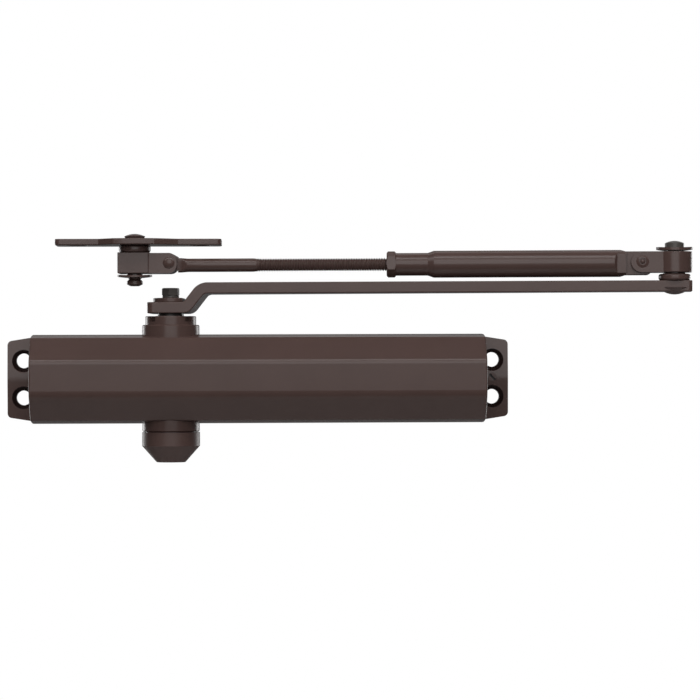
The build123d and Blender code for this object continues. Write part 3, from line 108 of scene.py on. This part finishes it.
def two_tone(tree, factor, first, second):
    node = tree.nodes.new("ShaderNodeMix")
    node.data_type = "RGBA"
    node.inputs["A"].default_value = (*first, 1.0)
    node.inputs["B"].default_value = (*second, 1.0)
    tree.links.new(factor, node.inputs["Factor"])
    return node.outputs["Result"]


def vary_tone(tree, pattern, shader, colour, darkest, lightest):
    """Base colour that wanders between two shares of a colour."""
    tone = spread(tree, pattern, low=0.0, high=1.0)
    colours = two_tone(tree, tone, scaled(colour, darkest), scaled(colour, lightest))
    tree.links.new(colours, shader.inputs["Base Color"])


def vary_gloss(tree, pattern, shader, roughness, change):
    """Roughness that wanders by a change either way."""
    uneven = spread(tree, pattern, low=roughness - change, high=roughness + change)
    tree.links.new(uneven, shader.inputs["Roughness"])


def bump(tree, pattern, shader, strength, distance):
    node = tree.nodes.new("ShaderNodeBump")
    node.inputs["Strength"].default_value = strength
    node.inputs["Distance"].default_value = distance
    tree.links.new(pattern, node.inputs["Height"])
    tree.links.new(node.outputs["Normal"], shader.inputs["Normal"])


def satin_paint(name, colour, roughness, peel):
    """Sprayed satin paint: cloudy tone, uneven gloss and a fine orange peel."""
    material, tree, shader, coordinates = new_material(name)
    clouds = noise(tree, coordinates, scale=38.0, detail=4.0, roughness=0.55)
    vary_tone(tree, clouds, shader, colour, darkest=0.95, lightest=1.05)
    patches = noise(tree, coordinates, scale=90.0, detail=5.0, roughness=0.6)
    vary_gloss(tree, patches, shader, roughness, change=0.02)
    grain = noise(tree, coordinates, scale=900.0, detail=2.0, roughness=0.5)
    bump(tree, grain, shader, strength=peel, distance=0.2 * MM)
    shader.inputs["Specular IOR Level"].default_value = PAINT_SPECULAR
    return material


def body_paint_and_countersink_shade(name, colour, dark, roughness, peel):
    """Satin paint with painted shade: the countersinks of the door screws are coloured near-black."""
    material = satin_paint(name, colour, roughness, peel)
    tree = material.node_tree
    shader = tree.nodes["Principled BSDF"]
    painted = shader.inputs["Base Color"].links[0].from_socket
    coordinates = tree.nodes["Texture Coordinate"].outputs["Object"]
    mounts = {mount["name"]: mount for mount in frame["record"]["mounts"]}
    pattern = mounts["door_screws"]["dims"]
    first_hole = (pattern["spacing_x_mm"] * MM / 2, 0.0, pattern["spacing_y_mm"] * MM / 2)
    folded = tree.nodes.new("ShaderNodeVectorMath")
    folded.operation = "ABSOLUTE"
    tree.links.new(coordinates, folded.inputs[0])
    flat = tree.nodes.new("ShaderNodeVectorMath")
    flat.operation = "MULTIPLY"
    flat.inputs[1].default_value = (1.0, 0.0, 1.0)
    tree.links.new(folded.outputs["Vector"], flat.inputs[0])
    away = tree.nodes.new("ShaderNodeVectorMath")
    away.operation = "DISTANCE"
    away.inputs[1].default_value = first_hole
    tree.links.new(flat.outputs["Vector"], away.inputs[0])
    ring = tree.nodes.new("ShaderNodeMapRange")
    ring.inputs["From Min"].default_value = COUNTERSINK_R - COUNTERSINK_EDGE
    ring.inputs["From Max"].default_value = COUNTERSINK_R
    tree.links.new(away.outputs["Value"], ring.inputs["Value"])
    mix = tree.nodes.new("ShaderNodeMix")
    mix.data_type = "RGBA"
    mix.inputs["A"].default_value = (*dark, 1.0)
    tree.links.new(ring.outputs["Result"], mix.inputs["Factor"])
    tree.links.new(painted, mix.inputs["B"])
    tree.links.new(mix.outputs["Result"], shader.inputs["Base Color"])
    return material


def two_finishes(name, along, level, before, past, roughness):
    """One colour up to a level along an axis of the frame, and another past it."""
    material, tree, shader, coordinates = new_material(name)
    parts = tree.nodes.new("ShaderNodeSeparateXYZ")
    tree.links.new(coordinates, parts.inputs["Vector"])
    edge = tree.nodes.new("ShaderNodeMapRange")
    edge.inputs["From Min"].default_value = level - FINISH_EDGE
    edge.inputs["From Max"].default_value = level + FINISH_EDGE
    tree.links.new(parts.outputs[along], edge.inputs["Value"])
    colours = two_tone(tree, edge.outputs["Result"], before, past)
    tree.links.new(colours, shader.inputs["Base Color"])
    patches = noise(tree, coordinates, scale=240.0, detail=5.0, roughness=0.6)
    vary_gloss(tree, patches, shader, roughness, change=0.05)
    bump(tree, patches, shader, strength=0.05, distance=0.1 * MM)
    shader.inputs["Specular IOR Level"].default_value = PAINT_SPECULAR
    return material


def machined(name, colour, roughness):
    """Machined steel with a cloudy tone and a fine grain."""
    material, tree, shader, coordinates = new_material(name)
    clouds = noise(tree, coordinates, scale=120.0, detail=5.0, roughness=0.6)
    vary_tone(tree, clouds, shader, colour, darkest=0.8, lightest=1.1)
    grain = noise(tree, coordinates, scale=1500.0, detail=3.0, roughness=0.6)
    vary_gloss(tree, grain, shader, roughness, change=0.06)
    bump(tree, grain, shader, strength=0.05, distance=0.1 * MM)
    shader.inputs["Metallic"].default_value = 0.9
    return material


def moulded(name, colour, roughness):
    """Rubber or plastic with a faint matt grain."""
    material, tree, shader, coordinates = new_material(name)
    clouds = noise(tree, coordinates, scale=60.0, detail=3.0, roughness=0.5)
    vary_tone(tree, clouds, shader, colour, darkest=0.9, lightest=1.1)
    grain = noise(tree, coordinates, scale=1800.0, detail=2.0, roughness=0.5)
    vary_gloss(tree, grain, shader, roughness, change=0.04)
    bump(tree, grain, shader, strength=0.06, distance=0.1 * MM)
    return material


BRONZE = (0.080, 0.0490, 0.0430)
# Bronze a tenth lighter: painted light, a lit copy of the paint that lifts the cap in the body's shade,
# also used on the bushes
LIT_BRONZE = scaled(BRONZE, 1.1)
# Near-black painted shade, for the countersinks of the door screws and the slot of the valve
PAINTED_SHADE = (0.018, 0.010, 0.009)
DULL_STEEL = (0.078, 0.070, 0.064)
BRIGHT_STEEL = (0.55, 0.55, 0.56)
SPRING_STEEL = (0.20, 0.20, 0.21)
BLACK_RUBBER = (0.02, 0.02, 0.02)
IVORY_PLASTIC = (0.60, 0.55, 0.42)
PALE_GREY = (0.75, 0.75, 0.75)

SLOT_MATERIALS = {
    # The body's paint carries painted shade in the countersinks of the door screws.
    "body_paint": body_paint_and_countersink_shade("body_paint", BRONZE, PAINTED_SHADE, PAINT_ROUGHNESS, PAINT_PEEL),
    "arm_paint": satin_paint("arm_paint", BRONZE, PAINT_ROUGHNESS, PAINT_PEEL),
    "cap_plastic": satin_paint("cap_plastic", LIT_BRONZE, roughness=0.40, peel=GRAINY_PEEL),
    "bush_metal": satin_paint("bush_paint", LIT_BRONZE, PAINT_ROUGHNESS, PAINT_PEEL),
    "zinc_steel": satin_paint("dull_steel", DULL_STEEL, roughness=0.32, peel=GRAINY_PEEL),
    "bright_steel": machined("bright_steel", BRIGHT_STEEL, roughness=0.28),
    "spring_steel": machined("spring_steel", SPRING_STEEL, roughness=0.36),
    "seal_rubber": moulded("seal_rubber", BLACK_RUBBER, roughness=0.55),
    "ring_plastic": moulded("ring_plastic", IVORY_PLASTIC, roughness=0.45),
}

for part in frame["record"]["subparts"]:
    node = frame["nodes"][part["node"]]
    node.data.materials.clear()
    node.data.materials.append(SLOT_MATERIALS[part["material_slot"]])

ARM_TOP_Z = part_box("main_arm")[1][2]
frame["nodes"]["elbow_stud"].data.materials[0] = two_finishes(
    "stud_steel", along="Z", level=ARM_TOP_Z, before=BRONZE, past=DULL_STEEL, roughness=0.34,
)
# The valve's slot, past its face, is coloured near-black: painted shade.
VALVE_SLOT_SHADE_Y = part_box("backcheck_valve")[0][1] + VALVE_PAINT_DEPTH
frame["nodes"]["backcheck_valve"].data.materials[0] = two_finishes(
    "valve_paint_and_slot_shade", along="Y", level=VALVE_SLOT_SHADE_Y, before=BRONZE, past=PAINTED_SHADE,
    roughness=PAINT_ROUGHNESS,
)


# Forearm rod, with its thread as a true helix.
# Its own X is the rod's axis, from the inner end to the shoe. The eye's centre lies a little above it.

ROD_LENGTH = 153.4 * MM       # from the inner end to the pin in the eye
ROD_R = 3.28 * MM
ROD_SHANK_R = 3.38 * MM
THREAD_PITCH = 1.27 * MM
THREAD_TURNS = 87
THREAD_DEPTH = 0.62 * MM
THREAD_CREST = 0.14           # flat share of a pitch, at the crest and at the root
THREAD_FADE = 2               # turns over which the thread runs out into the shank
TIP_SHARE = 0.8               # radius of the rod's inner end face, as a share of the root
STEPS_PER_TURN = 10
TAPER_STEPS = 6
RING_SIDES = 48
SMOOTH_DEG = 35.0             # edges that turn by more than this stay sharp
TONGUE_LENGTH = 5.8 * MM
TONGUE_TAPER = 3.2 * MM
TONGUE_HALF = 2.3 * MM
TONGUE_HALF_HEIGHT = 3.6 * MM
TONGUE_ROUND_R = 3.75 * MM
EYE_ROOT = 4.2 * MM           # the plate round the eye reaches back this far from the pin
EYE_HOLE_R = 1.95 * MM
PIN = Vector(JOINTS["shoe_tilt"]["pos_m"])
ROD_ALONG = Vector(JOINTS["rod_adjust"]["axis"]).normalized()
ROD_Z = JOINTS["jam_nut_turn"]["pos_m"][2]
EYE_RISE = PIN.z - ROD_Z


def thread_radius(distance, turn):
    """Radius at a distance from the thread's start, at a turn round the rod in radians."""
    phase = (distance / THREAD_PITCH - turn / (2 * math.pi)) % 1.0
    from_crest = abs(phase - 0.5) * 2
    fall = min(1.0, max(0.0, (from_crest - THREAD_CREST) / (1 - 2 * THREAD_CREST)))
    to_end = THREAD_TURNS - distance / THREAD_PITCH
    depth = THREAD_DEPTH * min(1.0, to_end / THREAD_FADE)
    return ROD_R - depth * fall


def flattened_radius(turn, half_width, half_height, round_r):
    """Radius of a round bar with flattened sides, at a turn measured from its Y."""
    to_side = half_width / max(abs(math.cos(turn)), TINY)
    to_top = half_height / max(abs(math.sin(turn)), TINY)
    return min(to_side, to_top, round_r)


def rod_stations():
    """(place along the rod, function from turn to radius) from the inner end to the eye."""
    root_r = ROD_R - THREAD_DEPTH
    thread_length = THREAD_TURNS * THREAD_PITCH
    stations = [(0.0, lambda turn: root_r * TIP_SHARE)]
    steps = THREAD_TURNS * STEPS_PER_TURN
    for i in range(1, steps):
        distance = thread_length * i / steps
        stations.append((distance, lambda turn, d=distance: thread_radius(d, turn)))
    taper_start = ROD_LENGTH - TONGUE_LENGTH - TONGUE_TAPER
    stations += [
        (thread_length + THREAD_PITCH / 2, lambda turn: ROD_SHANK_R),
        (taper_start, lambda turn: ROD_SHANK_R),
    ]
    for i in range(1, TAPER_STEPS + 1):
        share = i / TAPER_STEPS
        half_width = ROD_SHANK_R + (TONGUE_HALF - ROD_SHANK_R) * share
        half_height = ROD_SHANK_R + (TONGUE_HALF_HEIGHT - ROD_SHANK_R) * share
        round_r = ROD_SHANK_R + (TONGUE_ROUND_R - ROD_SHANK_R) * share
        stations.append((
            taper_start + TONGUE_TAPER * share,
            lambda turn, w=half_width, h=half_height, r=round_r: flattened_radius(turn, w, h, r),
        ))
    stations.append((ROD_LENGTH - EYE_ROOT, stations[-1][1]))
    return stations


def add_rings(bm, stations):
    """Closed skin through one ring of points at each station."""
    rings = []
    for place, radius_at in stations:
        ring = []
        for k in range(RING_SIDES):
            turn = 2 * math.pi * k / RING_SIDES
            radius = radius_at(turn)
            ring.append(bm.verts.new((place, radius * math.cos(turn), radius * math.sin(turn))))
        rings.append(ring)
    for first, second in zip(rings, rings[1:]):
        for k in range(RING_SIDES):
            after = (k + 1) % RING_SIDES
            bm.faces.new((first[k], first[after], second[after], second[k]))
    bm.faces.new(rings[0])
    bm.faces.new(rings[-1])


def add_eye(bm):
    """Flat plate with a round end and the hole for the pin."""
    loops = []
    for half_width in (-TONGUE_HALF, TONGUE_HALF):
        outer = []
        inner = []
        for k in range(RING_SIDES):
            turn = 2 * math.pi * k / RING_SIDES
            along = math.cos(turn)
            up = math.sin(turn)
            reach = TONGUE_HALF_HEIGHT
            if along < 0:
                reach = min(EYE_ROOT / -along, TONGUE_HALF_HEIGHT / max(abs(up), TINY))
            outer.append(bm.verts.new((ROD_LENGTH + reach * along, half_width, EYE_RISE + reach * up)))
            inner.append(bm.verts.new((
                ROD_LENGTH + EYE_HOLE_R * along, half_width, EYE_RISE + EYE_HOLE_R * up,
            )))
        loops.append((outer, inner))
    (near_outer, near_inner), (far_outer, far_inner) = loops
    for first, second in (
        (near_outer, near_inner), (near_inner, far_inner), (far_inner, far_outer), (far_outer, near_outer),
    ):
        for k in range(RING_SIDES):
            after = (k + 1) % RING_SIDES
            bm.faces.new((first[k], first[after], second[after], second[k]))


def add_mesh(name, bm, material):
    """Turns a bmesh into a smooth-shaded object with creases kept sharp."""
    bmesh.ops.recalc_face_normals(bm, faces=bm.faces)
    mesh = bpy.data.meshes.new(name)
    bm.to_mesh(mesh)
    bm.free()
    mesh.materials.append(material)
    mesh.shade_smooth()
    mesh.set_sharp_from_angle(angle=math.radians(SMOOTH_DEG))
    piece = bpy.data.objects.new(name, mesh)
    bpy.context.scene.collection.objects.link(piece)
    return piece


def add_rod():
    """Rod and eye as one piece, laid along the forearm."""
    bm = bmesh.new()
    add_rings(bm, rod_stations())
    add_eye(bm)
    rod = add_mesh("helical_rod", bm, SLOT_MATERIALS["arm_paint"])
    side = UP.cross(ROD_ALONG)
    start = Vector((PIN.x, PIN.y, ROD_Z)) - ROD_ALONG * ROD_LENGTH
    turned = Matrix((ROD_ALONG, side, UP)).transposed()
    rod.matrix_world = Matrix.Translation(start) @ turned.to_4x4()
    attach(rod, "rod")
    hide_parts("threaded_rod")


add_rod()


# Main spring, which the piston presses together towards its right-hand end; here it keeps its shape.

def add_spring():
    """The spring's own copy of its mesh, on the housing."""
    node = frame["nodes"]["main_spring"]
    spring = bpy.data.objects.new("pressed_spring", node.data.copy())
    spring.matrix_world = node.matrix_world.copy()
    bpy.context.scene.collection.objects.link(spring)
    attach(spring, "housing")
    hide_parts("main_spring")
    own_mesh(spring)


add_spring()


# Camera at the photograph's viewing angle, for a square picture

CAMERA_PLACE = Vector((-0.0023, -1.380, 0.0014))
CAMERA_YAW = 0.0360       # radians, as are the pitch and the roll
CAMERA_PITCH = 0.0096
CAMERA_ROLL = -0.0033
CAMERA_LENS = 137.1       # millimetres, as is the sensor's width
SENSOR_WIDTH = 36.0


def add_camera():
    data = bpy.data.cameras.new("camera")
    data.lens = CAMERA_LENS
    data.sensor_width = SENSOR_WIDTH
    data.sensor_fit = "HORIZONTAL"
    data.clip_start = 0.05
    data.clip_end = 60.0
    camera = bpy.data.objects.new("camera", data)
    bpy.context.scene.collection.objects.link(camera)
    forward = Vector((
        math.sin(CAMERA_YAW) * math.cos(CAMERA_PITCH),
        math.cos(CAMERA_YAW) * math.cos(CAMERA_PITCH),
        math.sin(CAMERA_PITCH),
    ))
    level = Vector((math.cos(CAMERA_YAW), -math.sin(CAMERA_YAW), 0.0))
    upright = level.cross(forward)
    right = level * math.cos(CAMERA_ROLL) + upright * math.sin(CAMERA_ROLL)
    up = right.cross(forward)
    rotation = Matrix((right, up, -forward)).transposed()
    camera.matrix_world = Matrix.Translation(CAMERA_PLACE) @ rotation.to_4x4()
    bpy.context.scene.camera = camera


# Studio: soft panels, a white surround and a pale floor well below the object

TARGET = Vector((0.045, -0.03, 0.02))
PANEL_DISTANCE = 2.0
WIDE_PANEL = 1.8
SIDE_PANEL = 0.9
WHITE = (1.0, 1.0, 1.0, 1.0)
AMBIENT = 0.06
MIRRORED_WHITE = 0.1    # share of the surround's white in reflections of what lies behind the object
MIRRORED_FROM = 0.6     # Y of a ray's direction from which reflections show some of the white
MIRRORED_FULL = 0.98    # Y of a ray's direction from which they show that whole share
FLOOR_HALF = 0.8
FLOOR_PLACE = (0.05, -0.1, -0.90)


def add_panel(name, azimuth, elevation, width, height, power):
    """A soft light aimed at the object.

    Azimuth is in degrees to the right of the front. Elevation is in degrees up from level,
    and past 90 it comes down behind the object.
    """
    data = bpy.data.lights.new(name, "AREA")
    data.shape = "RECTANGLE"
    data.size = width
    data.size_y = height
    data.energy = power
    light = bpy.data.objects.new(name, data)
    bpy.context.scene.collection.objects.link(light)
    turn = math.radians(azimuth)
    rise = math.radians(elevation)
    away = Vector((math.sin(turn) * math.cos(rise), -math.cos(turn) * math.cos(rise), math.sin(rise)))
    light.location = TARGET + away * PANEL_DISTANCE
    light.rotation_mode = "QUATERNION"
    light.rotation_quaternion = (-away).to_track_quat("-Z", "Y")


def add_world():
    """White for the camera, partly white in reflections of the back, and dim for all other light."""
    world = bpy.data.worlds.new("studio")
    bpy.context.scene.world = world
    world.use_nodes = True
    tree = world.node_tree
    tree.nodes.clear()
    output = tree.nodes.new("ShaderNodeOutputWorld")
    dim = tree.nodes.new("ShaderNodeBackground")
    dim.inputs["Color"].default_value = WHITE
    dim.inputs["Strength"].default_value = AMBIENT
    white = tree.nodes.new("ShaderNodeBackground")
    white.inputs["Color"].default_value = WHITE
    white.inputs["Strength"].default_value = 1.0
    path = tree.nodes.new("ShaderNodeLightPath")
    reflected = tree.nodes.new("ShaderNodeMath")
    reflected.operation = "MAXIMUM"
    tree.links.new(path.outputs["Is Glossy Ray"], reflected.inputs[0])
    tree.links.new(path.outputs["Is Transmission Ray"], reflected.inputs[1])
    direction = tree.nodes.new("ShaderNodeTexCoord")
    parts = tree.nodes.new("ShaderNodeSeparateXYZ")
    tree.links.new(direction.outputs["Generated"], parts.inputs["Vector"])
    behind = tree.nodes.new("ShaderNodeMapRange")
    behind.interpolation_type = "SMOOTHSTEP"
    behind.inputs["From Min"].default_value = MIRRORED_FROM
    behind.inputs["From Max"].default_value = MIRRORED_FULL
    behind.inputs["To Max"].default_value = MIRRORED_WHITE
    tree.links.new(parts.outputs["Y"], behind.inputs["Value"])
    backdrop = tree.nodes.new("ShaderNodeMath")
    backdrop.operation = "MULTIPLY"
    tree.links.new(reflected.outputs["Value"], backdrop.inputs[0])
    tree.links.new(behind.outputs["Result"], backdrop.inputs[1])
    seen = tree.nodes.new("ShaderNodeMath")
    seen.operation = "MAXIMUM"
    tree.links.new(path.outputs["Is Camera Ray"], seen.inputs[0])
    tree.links.new(backdrop.outputs["Value"], seen.inputs[1])
    mix = tree.nodes.new("ShaderNodeMixShader")
    tree.links.new(seen.outputs["Value"], mix.inputs["Fac"])
    tree.links.new(dim.outputs["Background"], mix.inputs[1])
    tree.links.new(white.outputs["Background"], mix.inputs[2])
    tree.links.new(mix.outputs["Shader"], output.inputs["Surface"])


def add_floor():
    bm = bmesh.new()
    bmesh.ops.create_grid(bm, x_segments=8, y_segments=8, size=FLOOR_HALF)
    floor = add_mesh("floor", bm, satin_paint("floor_paint", PALE_GREY, roughness=0.6, peel=0.02))
    floor.location = FLOOR_PLACE


add_camera()
add_panel("low_panel", azimuth=0.0, elevation=9.5, width=WIDE_PANEL, height=0.6, power=9.5)
add_panel("front_panel", azimuth=0.0, elevation=30.0, width=WIDE_PANEL, height=0.7, power=10.0)
add_panel("high_panel", azimuth=0.0, elevation=60.0, width=WIDE_PANEL, height=0.5, power=13.0)
add_panel("back_panel", azimuth=0.0, elevation=152.0, width=WIDE_PANEL, height=0.6, power=1.5)
add_panel("top_panel", azimuth=0.0, elevation=118.0, width=WIDE_PANEL, height=0.6, power=4.0)
for end, side in (("left", -1), ("right", 1)):
    add_panel(
        end + "_side_panel", azimuth=side * 60.0, elevation=42.0,
        width=SIDE_PANEL, height=SIDE_PANEL, power=6.0,
    )
    add_panel(
        end + "_rear_panel", azimuth=side * 140.0, elevation=-8.0,
        width=SIDE_PANEL, height=SIDE_PANEL, power=9.0,
    )
add_world()
add_floor()

bpy.context.scene.view_settings.view_transform = "Standard"
